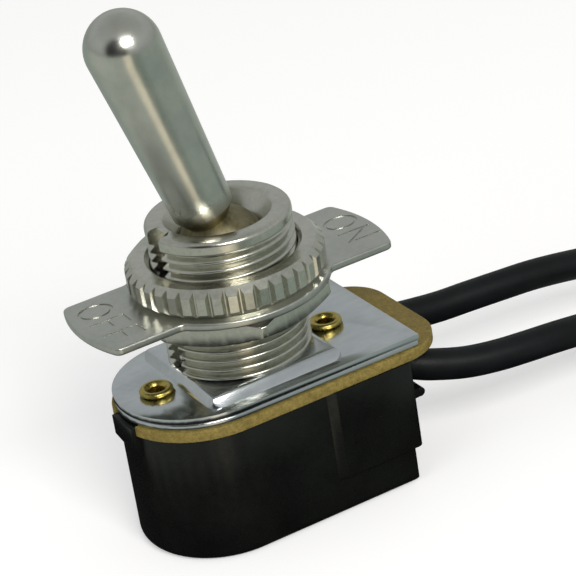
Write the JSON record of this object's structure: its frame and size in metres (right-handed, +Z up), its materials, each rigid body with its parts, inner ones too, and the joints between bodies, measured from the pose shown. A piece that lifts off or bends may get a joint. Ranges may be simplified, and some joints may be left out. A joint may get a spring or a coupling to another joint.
{
  "type": "panel toggle switch",
  "caption": "Round-lever toggle switch with threaded panel bushing, nuts, winged indicator plate, riveted frame on a D-ended moulded case, and two wire leads.",
  "frame": {"origin": "on the underside of the case, straight below the bushing's axis", "axes": "+Z up along the bushing's axis, +X towards the wire end, -Y towards the side that is seen; the lever rests leaning towards -X"},
  "size_m": [0.1113, 0.0194, 0.0457],
  "materials": {
    "phenolic": "moulded black phenolic, glossy",
    "fibre": "vulcanised fibre sheet",
    "zinc_steel": "zinc plated sheet steel",
    "rivet_brass": "plain brass",
    "nickel_brass": "nickel plated brass, satin",
    "nickel_steel": "nickel plated sheet steel",
    "nylon": "moulded, slippery",
    "spring_steel": "drawn wire",
    "contact_brass": "plain sheet brass",
    "contact_face": "silver faced button",
    "lead_insulation": "black insulation, faint shine",
    "copper": "bare copper strands",
    "tie": "paper and wire twist tie"
  },
  "bodies": {
    "switch_body": {"case": "phenolic", "fibre_plate": "fibre", "under_plate": "zinc_steel", "frame_plate": "zinc_steel", "rivet_off_end": "rivet_brass", "rivet_wire_end": "rivet_brass", "bushing": "nickel_brass", "indicator_plate": "nickel_steel", "fixed_contact": "contact_face", "centre_terminal": "contact_brass", "end_terminal": "contact_brass", "lead_front": "lead_insulation", "lead_rear": "lead_insulation", "lead_front_core": "copper", "lead_rear_core": "copper", "lead_front_end": "copper", "lead_rear_end": "copper", "lead_tie": "tie"},
    "lever": {"lever": "nickel_brass", "plunger_spring": "spring_steel"},
    "plunger": {"plunger": "nylon"},
    "rocker": {"rocker_contact": "contact_brass", "moving_contact": "contact_face"},
    "hex_nut": {"hex_nut": "nickel_brass"},
    "knurled_nut": {"knurled_nut": "nickel_brass"}
  },
  "joints": [
    {"name": "lever_toggle", "type": "hinge", "parent": "switch_body", "child": "lever", "pos_m": [0, 0, 0.0235], "axis": [0, 1, 0], "range_deg": [0, 31.5]},
    {"name": "plunger_travel", "type": "slide", "parent": "lever", "child": "plunger", "axis": [-0.2714, 0, 0.9625], "range_m": [0, 0.0006], "stiffness_N_per_m": 50, "deforming": ["plunger_spring"]},
    {"name": "rocker_tip", "type": "hinge", "parent": "switch_body", "child": "rocker", "pos_m": [0, 0, 0.00607], "axis": [0, 1, 0], "range_deg": [-16, 0]},
    {"name": "knurled_nut_turn", "type": "hinge", "parent": "switch_body", "child": "knurled_nut", "pos_m": [0, 0, 0.0211], "axis": [0, 0, 1], "continuous": true},
    {"name": "hex_nut_turn", "type": "hinge", "parent": "switch_body", "child": "hex_nut", "pos_m": [0, 0, 0.0184], "axis": [0, 0, 1], "continuous": true}
  ],
  "couplings": [
    {"joint": "rocker_tip", "follows": "lever_toggle", "ratio": -0.50794}
  ]
}
